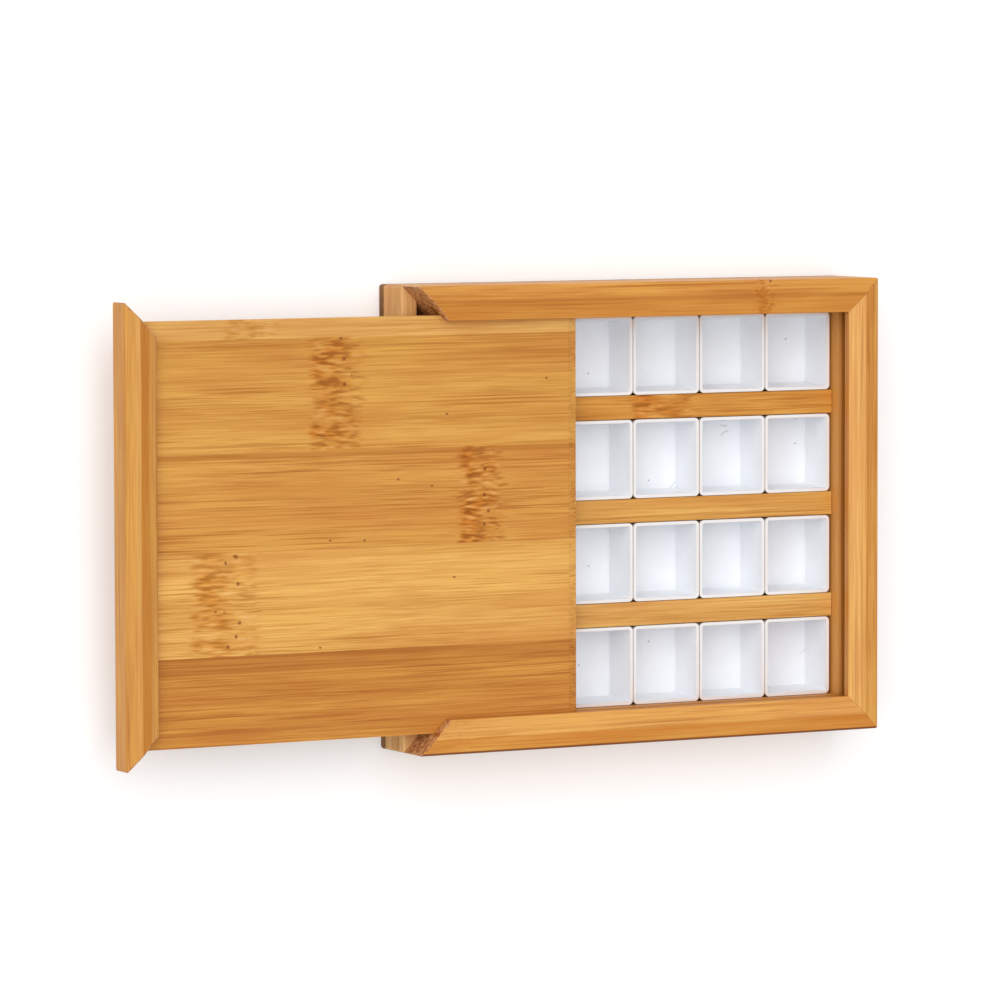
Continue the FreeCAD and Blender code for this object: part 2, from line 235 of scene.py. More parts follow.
class Bamboo(Surface):
    """Strip bamboo, glued, planed or moulded, sanded, and given a thin satin coat.

    The eye sees fine straight lines along the grain, which are the fibre bundles, on a softer straw
    ground, with slow bands of light and dark wood and a few deeper lines. Where a culm had a node, a
    band of wavy brown strokes and dark pits runs across the grain.
    """

    def __init__(self, name, tint, shift, along_y=False, rings=()):
        """tint multiplies the colours. shift, in millimetres, moves the figure so that no two pieces
        match. rings holds, for each node of the culm, its place along the grain, half its width and
        how strongly it is marked.
        """
        super().__init__(name)
        self.wood = settings().bamboo
        self.tint = tint
        self.spacing = self.wood.fibre_spacing / MM
        self.length = self.wood.fibre_length / MM
        turned = self.add("ShaderNodeMapping", {
            "Vector": self.places,
            "Rotation": (0.0, 0.0, -math.pi / 2 if along_y else 0.0),
        })
        self.lengthwise = self.add("ShaderNodeSeparateXYZ", {0: turned})
        self.moved = self.add("ShaderNodeVectorMath", {0: turned, 1: shift})
        # Height folded into the width, so that a flat pattern of dots shows on upright faces too.
        sides = self.add("ShaderNodeSeparateXYZ", {0: self.moved})
        self.unfolded = self.add("ShaderNodeCombineXYZ", {
            "X": sides.outputs["X"],
            "Y": self.add("ShaderNodeMath", {0: sides.outputs["Y"], 1: sides.outputs["Z"]}),
        })
        self.grain = self.bent(self.moved, 130.0, 30.0, 1.6, 1.0)
        bands = [self.band_of(*ring[:2]) for ring in rings]
        for band in bands:
            self.grain = self.bent(self.grain, 9.0, 5.0, 1.0, band)
        self.ground()
        self.deep_lines()
        for band, ring in zip(bands, rings):
            self.ring_marks(band, *ring)

    def bent(self, places, along, across, most, share):
        """Places pushed about across the grain, so that the lines drawn on them bend."""
        sway = self.add("ShaderNodeTexNoise", {
            "Vector": self.add("ShaderNodeMapping", {
                "Vector": self.moved, "Scale": per_feature(along, across),
            }),
            "Scale": 1.0,
            "Detail": 1.0,
        })
        centred = self.add("ShaderNodeVectorMath", {
            0: sway.outputs["Color"],
            1: (0.5, 0.5, 0.5),
        }, operation="SUBTRACT")
        across_only = self.add("ShaderNodeVectorMath", {
            0: centred,
            1: (0.0, most, most),
        }, operation="MULTIPLY")
        shared = self.add("ShaderNodeVectorMath", {0: across_only, "Scale": share}, operation="SCALE")
        return self.add("ShaderNodeVectorMath", {0: places, 1: shared})

    def ground(self):
        """Slow bands 5 mm wide, fibre bundles 0.6 mm wide and single fibres 0.25 mm wide.

        Real single fibres are finer, and are drawn this coarse so that they show.
        """
        figure = 0.5
        for along, across, detail, weight in (
            (2 * self.length, 7 * self.spacing, 1.0, 0.5),
            (0.6 * self.length, 0.8 * self.spacing, 2.0, 0.45),
            (self.length / 7, 0.36 * self.spacing, 2.0, 0.65),
        ):
            noise = self.add("ShaderNodeTexNoise", {
                "Vector": self.add("ShaderNodeMapping", {
                    "Vector": self.grain, "Scale": per_feature(along, across),
                }),
                "Scale": 1.0,
                "Detail": detail,
            })
            centred = self.add("ShaderNodeMath", {0: noise, 1: 0.5}, operation="SUBTRACT")
            figure = self.add("ShaderNodeMath", {
                0: centred, 1: weight, 2: figure,
            }, operation="MULTIPLY_ADD")
        fibre_share = self.add("ShaderNodeMapRange", {
            "Value": figure, "From Min": 0.7, "From Max": 0.22,
        })
        mixed = self.add("ShaderNodeMix", {
            0: fibre_share,
            6: opaque(tinted(self.wood.pith, self.tint)),
            7: opaque(tinted(self.wood.fibre, self.tint)),
        }, data_type="RGBA")
        self.colour = mixed.outputs["Result"]
        self.height = figure
        # Each piece has yellower and redder stretches, 4 cm long.
        for turn, tone in ((0.0, self.wood.yellow), (50.0, self.wood.red)):
            stretches = self.add("ShaderNodeTexNoise", {
                "Vector": self.add("ShaderNodeMapping", {
                    "Vector": self.grain, "Scale": per_feature(42.0, 6.5),
                }),
                "W": turn,
                "Scale": 1.0,
                "Detail": 2.0,
            }, noise_dimensions="4D")
            mask = self.add("ShaderNodeMapRange", {
                "Value": stretches, "From Min": 0.46, "From Max": 0.72, "To Max": 0.6,
            })
            self.stain(mask, tinted(tone, self.tint))

    def deep_lines(self):
        """Deeper lines, where the plane opened a bundle: a few long ones and many short thin ones."""
        patches = self.add("ShaderNodeTexNoise", {
            "Vector": self.add("ShaderNodeMapping", {
                "Vector": self.grain, "Scale": per_feature(0.5 * self.length, 8 * self.spacing),
            }),
            "Scale": 1.0,
            "Detail": 1.0,
        })
        for along, across, low, high, most in (
            (1.3 * self.length, 1.6 * self.spacing, 0.66, 0.8, 0.5),
            (0.7 * self.length, 0.75 * self.spacing, 0.62, 0.74, 0.6),
            (0.26 * self.length, 0.55 * self.spacing, 0.62, 0.74, 0.6),
        ):
            bundle = self.add("ShaderNodeTexNoise", {
                "Vector": self.add("ShaderNodeMapping", {
                    "Vector": self.grain, "Scale": per_feature(along, across),
                }),
                "Scale": 1.0,
                "Detail": 0.0,
            })
            line = self.add("ShaderNodeMapRange", {
                "Value": bundle, "From Min": low, "From Max": high, "To Max": most,
            })
            fade = self.add("ShaderNodeMapRange", {
                "Value": patches, "From Min": 0.38, "From Max": 0.6, "To Min": 0.25,
            })
            mask = self.add("ShaderNodeMath", {0: line, 1: fade}, operation="MULTIPLY")
            self.stain(mask, tinted(self.wood.line, self.tint), relief=-0.3)

    def band_of(self, place, half_width):
        """Mask of the ragged band that a culm's node makes across the grain."""
        ragged = self.add("ShaderNodeTexNoise", {
            "Vector": self.add("ShaderNodeMapping", {
                "Vector": self.moved, "Scale": per_feature(40.0, 1.3),
            }),
            "Scale": 1.0,
            "Detail": 1.5,
        })
        out_of_line = self.add("ShaderNodeMath", {
            0: self.add("ShaderNodeMath", {0: ragged, 1: 0.5}, operation="SUBTRACT"),
            1: 7.0,
            2: self.lengthwise.outputs["X"],
        }, operation="MULTIPLY_ADD")
        return self.add("ShaderNodeMapRange", {
            "Value": self.apart(out_of_line, place),
            "From Min": half_width + 2.0,
            "From Max": half_width - 1.5,
        }, interpolation_type="SMOOTHSTEP")

    def ring_marks(self, band, place, half_width, strength):
        """Marks of a culm's node: an orange-brown stain, short strokes along the grain that are
        densest at its front edge, pale flecks between them, and a row of dark pits.
        """
        front_edge = self.add("ShaderNodeMapRange", {
            "Value": self.lengthwise.outputs["X"],
            "From Min": place + 0.8 * half_width,
            "From Max": place - 0.6 * half_width,
            "To Min": 0.3,
        })
        clumps = self.add("ShaderNodeTexNoise", {
            "Vector": self.add("ShaderNodeMapping", {
                "Vector": self.moved, "Scale": per_feature(6.5, 4.5),
            }),
            "Scale": 1.0,
            "Detail": 1.5,
        })
        clumped = self.add("ShaderNodeMapRange", {
            "Value": clumps,
            "From Min": 0.36,
            "From Max": 0.6,
            "To Min": 0.2 * strength,
            "To Max": strength,
        })
        uneven = self.add("ShaderNodeMath", {
            0: self.add("ShaderNodeMath", {0: band, 1: front_edge}, operation="MULTIPLY"),
            1: clumped,
        }, operation="MULTIPLY")
        wide = self.add("ShaderNodeTexNoise", {
            "Vector": self.add("ShaderNodeMapping", {
                "Vector": self.grain, "Scale": per_feature(0.8 * half_width, 2.0),
            }),
            "Scale": 1.0,
            "Detail": 2.0,
        })
        thin = self.add("ShaderNodeTexNoise", {
            "Vector": self.add("ShaderNodeMapping", {
                "Vector": self.grain, "Scale": per_feature(0.65 * half_width, 0.8),
            }),
            "Scale": 1.0,
            "Detail": 1.0,
        })
        for strokes, low, high, most, share, tone, relief in (
            (wide, 0.22, 0.46, 0.95, uneven, self.wood.stain, 0.0),
            (thin, 0.45, 0.59, 0.85, uneven, self.wood.knot, -0.4),
            (thin, 0.55, 0.68, 0.5 * strength, band, self.wood.knot, -0.4),
            (thin, 0.42, 0.3, 0.35 * strength, band, self.wood.fleck, 0.2),
        ):
            stroke = self.add("ShaderNodeMapRange", {
                "Value": strokes, "From Min": low, "From Max": high, "To Max": most,
            })
            mask = self.add("ShaderNodeMath", {0: stroke, 1: share}, operation="MULTIPLY")
            self.stain(mask, tinted(tone, self.tint), relief)
        in_row = self.add("ShaderNodeMapRange", {
            "Value": self.apart(self.lengthwise.outputs["X"], place + 0.3 * half_width),
            "From Min": 0.4 * half_width,
            "From Max": 0.3 * half_width,
        })
        pits = self.add("ShaderNodeTexVoronoi", {
            "Vector": self.add("ShaderNodeMapping", {
                "Vector": self.unfolded, "Scale": per_feature(3.0, 3.4),
            }),
            "Scale": 1.0,
        }, voronoi_dimensions="2D")
        chosen = self.add("ShaderNodeMath", {
            0: self.add("ShaderNodeSeparateColor", {0: pits.outputs["Color"]}),
            1: 0.6,
        }, operation="GREATER_THAN")
        pit = self.add("ShaderNodeMapRange", {
            "Value": pits.outputs["Distance"],
            "From Min": 0.19,
            "From Max": 0.07,
            "To Max": min(0.75, strength),
        })
        mask = self.add("ShaderNodeMath", {
            0: self.add("ShaderNodeMath", {0: pit, 1: chosen}, operation="MULTIPLY"),
            1: in_row,
        }, operation="MULTIPLY")
        self.stain(mask, self.wood.pit)

    def pinholes(self):
        """Open vessels, few and far between.

        Real ones are about 0.2 mm across, and are drawn 0.5 to 0.7 mm across so that they show.
        """
        cells = self.add("ShaderNodeTexVoronoi", {
            "Vector": self.add("ShaderNodeMapping", {
                "Vector": self.unfolded, "Scale": per_feature(9.0, 6.0),
            }),
            "Scale": 1.0,
        }, voronoi_dimensions="2D")
        chosen = self.add("ShaderNodeMath", {
            0: self.add("ShaderNodeSeparateColor", {0: cells.outputs["Color"]}),
            1: 0.965,
        }, operation="GREATER_THAN")
        hole = self.add("ShaderNodeMapRange", {
            "Value": cells.outputs["Distance"],
            "From Min": 0.055,
            "From Max": 0.03,
            "To Max": 0.7,
        })
        mask = self.add("ShaderNodeMath", {0: hole, 1: chosen}, operation="MULTIPLY")
        self.stain(mask, self.wood.pit)

    def strip(self, start, end, tone, share):
        """A band along the grain, darker or paler than the wood beside it: on a stave a strip that the
        piece is glued from, on the walls' and the batten's bevels mostly painted light or painted shade.

        start and end are in millimetres across the grain.
        """
        half = abs(end - start) / 2
        inside = self.add("ShaderNodeMapRange", {
            "Value": self.apart(self.lengthwise.outputs["Y"], (start + end) / 2),
            "From Min": half + 0.15,
            "From Max": half - 0.15,
            "To Max": share,
        })
        along = self.add("ShaderNodeTexNoise", {
            "Vector": self.add("ShaderNodeMapping", {
                "Vector": self.moved, "Scale": per_feature(45.0, 3.0),
            }),
            "Scale": 1.0,
            "Detail": 1.0,
        })
        uneven = self.add("ShaderNodeMapRange", {
            "Value": along,
            "From Min": 0.3,
            "From Max": 0.6,
            "To Min": 0.4,
        })
        mask = self.add("ShaderNodeMath", {0: inside, 1: uneven}, operation="MULTIPLY")
        self.stain(mask, tinted(tone, self.tint))

    def glue_line(self, mask, relief):
        """Dark thread of glue, a little sunk."""
        self.stain(mask, tinted(self.wood.line, (0.6, 0.55, 0.5)), relief)

    def seam(self, off_line, width, strength):
        """Glue line where two pieces meet. off_line is the distance from it."""
        thread = self.add("ShaderNodeMapRange", {
            "Value": off_line,
            "From Min": width,
            "From Max": 0.3 * width,
            "To Max": strength,
        })
        self.glue_line(thread, -0.8)

    def batten_joint(self):
        """Dark thread and drops of squeezed glue along the foot of the batten's inner face."""
        low, high = corners("lid_batten")
        width = high.x - low.x
        within = self.add("ShaderNodeMath", {
            0: self.apart(self.axes.outputs["Y"], (low.y + high.y) / 2),
            1: (high.y - low.y) / 2 - width,
        }, operation="LESS_THAN")
        off_joint = self.apart(self.axes.outputs["X"], high.x)
        drops = self.add("ShaderNodeTexVoronoi", {
            "Vector": self.add("ShaderNodeMapping", {
                "Vector": self.places, "Scale": per_feature(2.3, 2.3),
            }),
            "Scale": 1.0,
        }, voronoi_dimensions="2D")
        drop = self.add("ShaderNodeMapRange", {
            "Value": drops.outputs["Distance"], "From Min": 0.3, "From Max": 0.1,
        })
        reach = self.add("ShaderNodeMath", {0: drop, 1: 0.35, 2: 0.3}, operation="MULTIPLY_ADD")
        near = self.add("ShaderNodeMath", {0: reach, 1: off_joint}, operation="SUBTRACT")
        thread = self.add("ShaderNodeMapRange", {"Value": near, "From Max": 0.2, "To Max": 0.75})
        mask = self.add("ShaderNodeMath", {0: thread, 1: within}, operation="MULTIPLY")
        self.glue_line(mask, -0.5)

    def off_mitre(self, node, face):
        """Distance from the 45 degree planes through the corners at a node's front or rear face.

        face is where that face lies along X.
        """
        low, high = corners(node)
        from_side = self.add("ShaderNodeMath", {
            0: (high.y - low.y) / 2,
            1: self.apart(self.axes.outputs["Y"], (low.y + high.y) / 2),
        }, operation="SUBTRACT")
        return self.apart(self.apart(self.axes.outputs["X"], face), from_side)

    def sawn_mitre(self, off_plane, ragged):
        """Open mitre: brown from the saw, with pale torn fibre ends.

        The brown runs past its edge by up to ragged millimetres, where chips broke out.
        """
        chips = self.add("ShaderNodeTexNoise", {
            "Vector": self.add("ShaderNodeMapping", {
                "Vector": self.places, "Scale": per_feature(0.8, 0.8),
            }),
            "Scale": 1.0,
            "Detail": 3.0,
        })
        reach = self.add("ShaderNodeMapRange", {
            "Value": chips,
            "From Min": 0.42,
            "From Max": 0.72,
            "To Min": 0.1,
            "To Max": 0.1 + ragged,
        })
        near = self.add("ShaderNodeMath", {0: reach, 1: off_plane}, operation="SUBTRACT")
        on_cut = self.add("ShaderNodeMapRange", {"Value": near, "From Min": -0.12, "From Max": 0.02})
        self.stain(on_cut, self.wood.cut, relief=1.0)
        tears = self.add("ShaderNodeTexNoise", {
            "Vector": self.add("ShaderNodeMapping", {
                "Vector": self.places, "Scale": per_feature(1.1, 1.1),
            }),
            "Scale": 1.0,
            "Detail": 4.0,
            "Roughness": 0.7,
        })
        torn = self.add("ShaderNodeMapRange", {
            "Value": tears,
            "From Min": 0.4,
            "From Max": 0.58,
            "To Max": 0.85,
        })
        mask = self.add("ShaderNodeMath", {0: torn, 1: on_cut}, operation="MULTIPLY")
        self.stain(mask, self.wood.torn, relief=2.0)

    def groove_painted_shade(self, across):
        """Painted shade in the lid groove: its faces are painted dark brown from a little behind the lip's
        edge inwards, where little light reaches.
        The upright faces below the groove and the lip's inner face above it are painted darker than the
        outside, also as painted shade.
        """
        lid_low, lid_high = corners("lid_stave_1")
        middle = (lid_low.z + lid_high.z) / 2
        level = self.add("ShaderNodeMapRange", {
            "Value": self.apart(self.axes.outputs["Z"], middle),
            "From Min": GROOVE_HALF + 0.05,
            "From Max": GROOVE_HALF - 0.04,
        })
        corner = corners("bottom_panel")[1]
        place, face = (self.axes.outputs["X"], corner.x) if across else (self.axes.outputs["Y"], corner.y)
        depth = self.add("ShaderNodeMath", {
            0: face,
            1: self.add("ShaderNodeMath", {0: place}, operation="ABSOLUTE"),
        }, operation="SUBTRACT")
        behind_lip = self.add("ShaderNodeMapRange", {
            "Value": depth,
            "From Min": FRAME_WIDTH - 0.7,
            "From Max": FRAME_WIDTH - 1.2,
        })
        behind_web = self.add("ShaderNodeMath", {
            0: depth,
            1: 0.9 * GROOVE_WEB,
        }, operation="GREATER_THAN")
        in_groove = self.add("ShaderNodeMath", {
            0: self.add("ShaderNodeMath", {0: level, 1: behind_lip}, operation="MULTIPLY"),
            1: behind_web,
        }, operation="MULTIPLY")
        on_lip = self.add("ShaderNodeMath", {
            0: depth,
            1: FRAME_WIDTH - 0.1,
        }, operation="GREATER_THAN")
        # Painted shade on the wall's inner face below the groove and on the lip's inner face above it.
        for side, face, share, blue in (
            ("LESS_THAN", behind_web, 0.3, 1.5),
            ("GREATER_THAN", on_lip, 0.55, 1.2),
        ):
            mask = self.add("ShaderNodeMath", {
                0: self.add("ShaderNodeMath", {0: self.axes.outputs["Z"], 1: middle}, operation=side),
                1: self.add("ShaderNodeMath", {0: face, 1: share}, operation="MULTIPLY"),
            }, operation="MULTIPLY")
            self.stain(mask, tinted(self.wood.stain, (0.8, 0.75, blue)))
        # Painted shade in the groove.
        self.stain(in_groove, self.wood.groove)

    def painted_arris_shade(self, node):
        """Painted shade: a thin dark line along the outer arris of the right wall, standing in for the
        shade under that edge.
        """
        low, high = corners(node)
        along_edge = self.add("ShaderNodeMapRange", {
            "Value": self.apart(self.axes.outputs["Y"], low.y),
            "From Min": 0.7,
            "From Max": 0.45,
            "To Max": 0.88,
        })
        at_top = self.add("ShaderNodeMath", {
            0: self.axes.outputs["Z"],
            1: high.z - ARRIS_LEVEL,
        }, operation="GREATER_THAN")
        mask = self.add("ShaderNodeMath", {0: along_edge, 1: at_top}, operation="MULTIPLY")
        self.stain(mask, self.wood.pit)

    def coated(self):
        """Satin lacquer, rubbed thin: the fibre lines still show a little in its gloss."""
        return self.shade(0.3, {"Roughness": 0.45, "IOR": 1.5, "Specular IOR Level": 0.28})

    def bare(self):
        """Sanded and left uncoated: pale, dry and without gloss."""
        return self.shade(0.45, {"Roughness": 0.75, "IOR": 1.5, "Specular IOR Level": 0.2})


class Polystyrene(Surface):
    """White polystyrene, injection moulded in a polished tool, so it is even, smooth and satin.

    A little light passes into it, which softens the shade inside the pans. Their floors hold a few
    specks of dust and hairs, and their rims carry painted warm light, standing in for light from the wood
    beside them.
    """

    def __init__(self, name):
        super().__init__(name)
        self.plastic = settings().pans
        low, high = corners("pan_row1_col1")
        self.rim = high.z
        self.floor = low.z + PAN_WALL
        clouds = self.add("ShaderNodeTexNoise", {
            "Vector": self.add("ShaderNodeMapping", {
                "Vector": self.places, "Scale": per_feature(9.0, 9.0),
            }),
            "Scale": 1.0,
            "Detail": 2.0,
        })
        share = self.add("ShaderNodeMapRange", {
            "Value": clouds,
            "From Min": 0.35,
            "From Max": 0.65,
            "To Max": 0.05,
        })
        clouded = self.add("ShaderNodeMix", {
            0: share,
            6: opaque(self.plastic.plastic),
            7: opaque(self.plastic.speck),
        }, data_type="RGBA")
        self.colour = clouded.outputs["Result"]
        self.height = clouds

    def warm_light_on_rims(self):
        """Painted warm light on the rims, standing in for light from the bamboo beside them."""
        up = self.add("ShaderNodeMapRange", {
            "Value": self.axes.outputs["Z"],
            "From Min": self.rim - 0.5,
            "From Max": self.rim - 0.05,
            "To Max": 0.55,
        })
        self.stain(up, self.plastic.rubbed)

    def dusty_floors(self):
        """Specks of dust, and curled hairs about 2 mm long, on the floors of a few pans.

        Real specks are finer, and are drawn 0.5 mm across so that they show.
        """
        on_floor = self.add("ShaderNodeMath", {
            0: self.axes.outputs["Z"],
            1: self.floor + 0.1,
        }, operation="LESS_THAN")
        contour = self.add("ShaderNodeTexNoise", {
            "Vector": self.add("ShaderNodeMapping", {
                "Vector": self.places, "Scale": per_feature(5.0, 5.0),
            }),
            "Scale": 1.0,
            "Detail": 0.0,
        })
        hair = self.add("ShaderNodeMapRange", {
            "Value": self.apart(contour, 0.5),
            "From Min": 0.016,
            "From Max": 0.006,
            "To Max": 0.5,
        })
        speck = {"From Min": 0.11, "From Max": 0.05, "To Max": 0.75}
        tuft = {"From Min": 0.24, "From Max": 0.18}
        for size, rarity, limits, drawn in ((2.8, 0.97, speck, 1.0), (7.5, 0.87, tuft, hair)):
            cells = self.add("ShaderNodeTexVoronoi", {
                "Vector": self.add("ShaderNodeMapping", {
                    "Vector": self.places, "Scale": per_feature(size, size),
                }),
                "Scale": 1.0,
            }, voronoi_dimensions="2D")
            chosen = self.add("ShaderNodeMath", {
                0: self.add("ShaderNodeSeparateColor", {0: cells.outputs["Color"]}),
                1: rarity,
            }, operation="GREATER_THAN")
            dot = self.add("ShaderNodeMapRange", {"Value": cells.outputs["Distance"], **limits})
            mask = self.add("ShaderNodeMath", {
                0: self.add("ShaderNodeMath", {0: dot, 1: chosen}, operation="MULTIPLY"),
                1: self.add("ShaderNodeMath", {0: on_floor, 1: drawn}, operation="MULTIPLY"),
            }, operation="MULTIPLY")
            self.stain(mask, self.plastic.speck)

    def satin(self):
        """Smooth and satin, with the ripple that the melt leaves as it fills the tool."""
        return self.shade(0.15, {
            "Roughness": 0.34,
            "IOR": 1.59,
            "Subsurface Weight": 0.15,
            "Subsurface Radius": (1.0, 1.0, 1.0),
            "Subsurface Scale": 1.5 * MM,
        })


def give(material, *names):
    """Put a material on CAD nodes."""
    for name in names:
        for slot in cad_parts[name].material_slots:
            slot.material = material


# Operators. Where they list pieces, a row holds the piece, its tint, the shift of its figure in
# millimetres, the culm's nodes in it, and its strips: from where to where, in which colour, how strong.

class PAINTBOX_OT_walls(bpy.types.Operator):
    """Finish the moulded side walls and the rear wall."""

    bl_idname = "paint_box.walls"
    bl_label = "Walls"

    def execute(self, context):
        wood = settings().bamboo
        front, corner = corners("bottom_panel")
        side = corner.y - RIDGE_INSET
        end = RIDGE_INSET - corner.x
        # The strips on the walls' bevels are painted light and painted shade: the left wall's inner bevel
        # is darker, painted shade; the right wall's inner bevel is paler, painted light, and its outer
        # bevel darker, painted shade; the rear wall's inner bevel is paler, painted light, and its outer
        # bevel darker, painted shade. The dark line along the left wall's ridge is a line in the wood.
        walls = (
            ("side_wall_left", (0.96, 0.91, 0.84), (11, 5, 3), ((31.8, 2.4, 0.7),), (
                (side + 0.5, side - 0.4, wood.line, 0.55),
                (side - 0.4, side - 4.5, wood.stain, 0.4),
            )),
            ("side_wall_right", (1.0, 0.98, 1.0), (71, 35, 8), ((-56.0, 5.0, 0.1),), (
                (-side, -side + 4.5, wood.fleck, 0.12),
                (-side - 4.0, -side - 0.2, wood.stain, 0.65),
            )),
            ("rear_wall", (1.04, 1.06, 1.15), (40, 22, 5), (), (
                (end + 4.6, end + 0.1, wood.fleck, 0.22),
                (end - 4.0, end - 0.1, wood.line, 0.15),
            )),
        )
        for node, tint, shift, rings, strips in walls:
            across = node == "rear_wall"
            wall = Bamboo(f"strip bamboo, moulded and lacquered, {node}", tint, shift, across, rings)
            for strip in strips:
                wall.strip(*strip)
            # Painted shade in the lid groove and on the inner faces beside it.
            wall.groove_painted_shade(across)
            wall.seam(wall.off_mitre("bottom_panel", corner.x), 0.16, 0.35)
            # Painted shade along the right wall's outer arris.
            if node == "side_wall_right":
                wall.painted_arris_shade(node)
            if not across:
                wall.sawn_mitre(wall.off_mitre("bottom_panel", front.x), 0.9)
            give(wall.coated(), node)
        return {"FINISHED"}


class PAINTBOX_OT_bottom(bpy.types.Operator):
    """Finish the thin bottom panel."""

    bl_idname = "paint_box.bottom"
    bl_label = "Bottom"

    def execute(self, context):
        # Tinted dark grey-brown and never coated, so its edge shows as a dull dark brown line.
        bottom = Bamboo("strip bamboo, planed thin and tinted dark", (0.36, 0.38, 0.75), (5, 60, 2))
        give(bottom.bare(), "bottom_panel")
        return {"FINISHED"}


class PAINTBOX_OT_front_wall(bpy.types.Operator):
    """Finish the low front wall that the lid passes over."""

    bl_idname = "paint_box.front_wall"
    bl_label = "Front wall"

    def execute(self, context):
        # Paler and greyer than the coated wood, and dry to the eye.
        front = Bamboo("strip bamboo, sanded and uncoated", (1.05, 1.28, 2.6), (90, 12, 6), along_y=True)
        front.seam(front.off_mitre("bottom_panel", corners("bottom_panel")[0].x), 0.14, 0.4)
        give(front.bare(), "front_wall")
        return {"FINISHED"}


class PAINTBOX_OT_slats(bpy.types.Operator):
    """Finish the slats between the rows of pans."""

    bl_idname = "paint_box.slats"
    bl_label = "Slats"

    def execute(self, context):
        slats = (
            ("divider_slat_1", (0.95, 0.9, 0.78), (31, 17, 4), ((8.0, 8.5, 1.0),)),
            ("divider_slat_2", (1.04, 1.15, 1.35), (62, 17, 4), ()),
            ("divider_slat_3", (1.05, 1.18, 1.55), (93, 17, 4), ()),
        )
        for node, tint, shift, rings in slats:
            slat = Bamboo(f"strip bamboo, ripped and lacquered, {node}", tint, shift, rings=rings)
            give(slat.coated(), node)
        return {"FINISHED"}


class PAINTBOX_OT_staves(bpy.types.Operator):
    """Finish the lid's five staves, which are glued edge to edge."""

    bl_idname = "paint_box.staves"
    bl_label = "Lid staves"

    def execute(self, context):
        wood = settings().bamboo
        staves = (
            (1, (1.04, 1.18, 1.55), (120, 3, 1), ((-107.0, 6.0, 0.6),), ()),
            (2, (0.92, 0.91, 0.84), (10, 44, 9), ((-84.3, 6.2, 1.0),), ()),
            (3, (0.93, 0.9, 0.85), (230, 81, 17), ((-46.0, 5.4, 1.25),), ((0.2, 1.5, wood.line, 0.6),)),
            (4, (1.07, 1.16, 1.35), (350, 120, 25), ((-113.6, 8.0, 0.75),), ()),
            (5, (0.83, 0.72, 0.57), (470, 160, 33), (), ((0.2, 4.2, wood.line, 0.45),)),
        )
        for number, tint, shift, rings, strips in staves:
            node = f"lid_stave_{number}"
            edge = corners(node)[1].y
            stave = Bamboo(f"strip bamboo, planed and lacquered, {node}", tint, shift, rings=rings)
            for start, end, tone, share in strips:
                stave.strip(edge - start, edge - end, tone, share)
            stave.pinholes()
            if number > 3:
                stave.seam(stave.apart(stave.axes.outputs["Y"], edge), 0.25, 0.3)
            stave.batten_joint()
            give(stave.coated(), node)
        return {"FINISHED"}


class PAINTBOX_OT_batten(bpy.types.Operator):
    """Finish the pull batten at the lid's near end."""

    bl_idname = "paint_box.batten"
    bl_label = "Pull batten"

    def execute(self, context):
        wood = settings().bamboo
        outer = corners("lid_batten")[0].x
        ridge = -outer - RIDGE_INSET
        batten = Bamboo(
            "strip bamboo, moulded and lacquered, lid_batten", (0.86, 0.81, 0.7), (600, 9, 2), along_y=True)
        # The paler band on the outer bevel, which faces the key light, is painted light, and the darker
        # band just behind the ridge on the inner bevel is painted shade; the pale band near the inner edge
        # is a paler strip of the wood.
        batten.strip(ridge + 1.2, ridge, wood.fleck, 0.3)
        batten.strip(ridge, ridge - 2.4, wood.stain, 0.5)
        batten.strip(ridge - 2.6, ridge - 4.5, wood.fleck, 0.25)
        batten.sawn_mitre(batten.off_mitre("lid_batten", outer), 0.0)
        give(batten.coated(), "lid_batten")
        return {"FINISHED"}


class PAINTBOX_OT_pans(bpy.types.Operator):
    """Finish the paint pans."""

    bl_idname = "paint_box.pans"
    bl_label = "Pans"

    def execute(self, context):
        plastic = Polystyrene("white polystyrene, injection moulded")
        # Painted warm light on the rims.
        plastic.warm_light_on_rims()
        plastic.dusty_floors()
        give(plastic.satin(), *[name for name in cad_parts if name.startswith("pan_")])
        return {"FINISHED"}


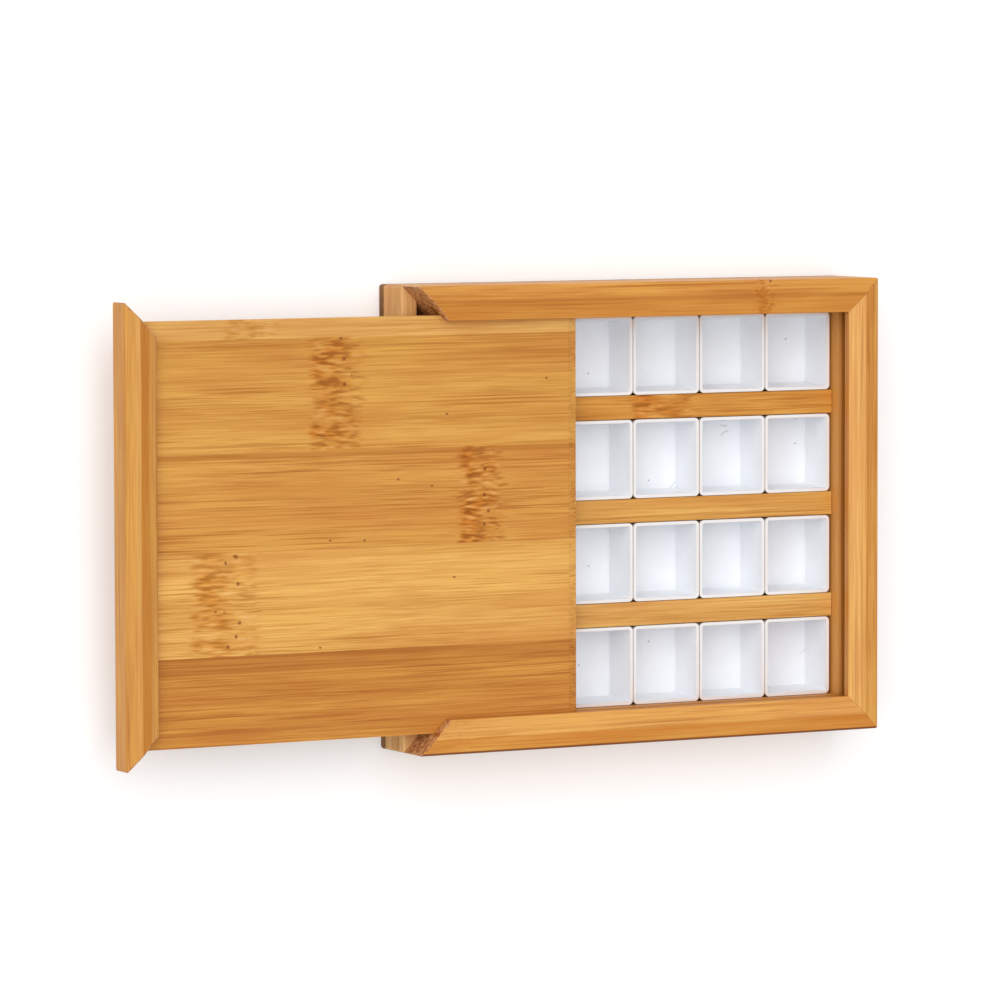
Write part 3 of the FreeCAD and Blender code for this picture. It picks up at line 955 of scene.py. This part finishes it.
class PAINTBOX_OT_stage(bpy.types.Operator):
    """Make the floor, the light and the camera."""

    bl_idname = "paint_box.stage"
    bl_label = "Stage"

    def execute(self, context):
        stage = settings().stage
        scene = context.scene
        scene.view_settings.view_transform = "Standard"
        self.floor(scene, stage)
        self.room(scene, stage)
        self.key_light(scene, stage)
        self.camera(scene, stage)
        return {"FINISHED"}

    def floor(self, scene, stage):
        """Square floor, just under the box."""
        half = stage.floor_size / 2
        below = -0.05 * MM
        mesh = bpy.data.meshes.new("floor")
        mesh.from_pydata(
            [(-half, -half, below), (half, -half, below), (half, half, below), (-half, half, below)],
            [], [(0, 1, 2, 3)])
        mesh.materials.append(self.matt_paper(stage))
        floor = bpy.data.objects.new("floor", mesh)
        scene.collection.objects.link(floor)

    def matt_paper(self, stage):
        """White matt paper: a faint tooth, no gloss, and the object's shadow on it."""
        paper = Surface("matt white paper")
        tooth = paper.add("ShaderNodeTexNoise", {
            "Vector": paper.add("ShaderNodeMapping", {
                "Vector": paper.places, "Scale": per_feature(1.1, 1.1),
            }),
            "Scale": 1.0,
            "Detail": 2.0,
        })
        toned = paper.add("ShaderNodeMix", {
            0: paper.add("ShaderNodeMapRange", {"Value": tooth, "To Max": 0.03}),
            6: opaque(stage.floor),
            7: opaque(stage.tooth),
        }, data_type="RGBA")
        matt = paper.add("ShaderNodeBsdfDiffuse", {"Color": toned.outputs["Result"]})
        lift = paper.add("ShaderNodeEmission", {
            "Color": WHITE,
            "Strength": paper.add("ShaderNodeMath", {
                0: rays_to_white(paper.tree),
                1: 0.2,
            }, operation="MULTIPLY"),
        })
        lifted = paper.add("ShaderNodeAddShader", {0: matt, 1: lift})
        paper.add("ShaderNodeOutputMaterial", {"Surface": lifted})
        return paper.material

    def room(self, scene, stage):
        """Even white room, which fills the shadows."""
        world = bpy.data.worlds.new("even white room")
        scene.world = world
        world.use_nodes = True
        tree = world.node_tree
        tree.nodes.clear()
        fill = add_node(tree, "ShaderNodeBackground", {"Color": WHITE, "Strength": stage.fill_strength})
        seen = add_node(tree, "ShaderNodeBackground", {"Color": WHITE, "Strength": 1.0})
        both = add_node(tree, "ShaderNodeMixShader", {0: rays_to_white(tree), 1: fill, 2: seen})
        add_node(tree, "ShaderNodeOutputWorld", {"Surface": both})

    def key_light(self, scene, stage):
        """Broad soft light from the upper left, as from a large window."""
        lamp = bpy.data.lights.new("key", "SUN")
        lamp.energy = stage.key_strength
        lamp.angle = math.radians(KEY_SPREAD)
        key = bpy.data.objects.new("key", lamp)
        key.rotation_euler = [math.radians(angle) for angle in KEY_TURN]
        scene.collection.objects.link(key)

    def camera(self, scene, stage):
        """Long lens over the open top, from a little in front of the box."""
        camera_data = bpy.data.cameras.new("camera")
        camera_data.sensor_width = 36
        camera_data.lens = stage.lens
        camera_data.clip_end = 20
        camera = bpy.data.objects.new("camera", camera_data)
        camera.location = CAMERA_PLACE
        camera.rotation_euler = [math.radians(angle) for angle in CAMERA_TURN]
        scene.collection.objects.link(camera)
        scene.camera = camera


class PAINTBOX_PT_panel(bpy.types.Panel):
    """Paint box pieces and settings."""

    bl_label = "Paint Box"
    bl_idname = "PAINTBOX_PT_panel"
    bl_space_type = "VIEW_3D"
    bl_region_type = "UI"
    bl_category = "Paint Box"

    def draw(self, context):
        layout = self.layout
        for operator in OPERATORS:
            layout.operator(operator.bl_idname)
        for group in (settings().bamboo, settings().pans, settings().stage):
            box = layout.box()
            for name in group.bl_rna.properties.keys():
                if name not in ("rna_type", "name"):
                    box.prop(group, name)


OPERATORS = (
    PAINTBOX_OT_walls,
    PAINTBOX_OT_bottom,
    PAINTBOX_OT_front_wall,
    PAINTBOX_OT_slats,
    PAINTBOX_OT_staves,
    PAINTBOX_OT_batten,
    PAINTBOX_OT_pans,
    PAINTBOX_OT_stage,
)
CLASSES = (BambooSettings, PanSettings, StageSettings, PaintBoxSettings, *OPERATORS, PAINTBOX_PT_panel)


def register():
    """Register the classes and the scene's settings."""
    for cls in CLASSES:
        bpy.utils.register_class(cls)
    bpy.types.Scene.paint_box_settings = PointerProperty(
        name="Paint box", description="Settings of the paint box", type=PaintBoxSettings)


def unregister():
    """Take the settings and the classes away again."""
    del bpy.types.Scene.paint_box_settings
    for cls in reversed(CLASSES):
        bpy.utils.unregister_class(cls)


def main():
    """Register, and finish every piece in order."""
    register()
    bpy.ops.paint_box.walls()
    bpy.ops.paint_box.bottom()
    bpy.ops.paint_box.front_wall()
    bpy.ops.paint_box.slats()
    bpy.ops.paint_box.staves()
    bpy.ops.paint_box.batten()
    bpy.ops.paint_box.pans()
    bpy.ops.paint_box.stage()


if __name__ == "__main__":
    main()
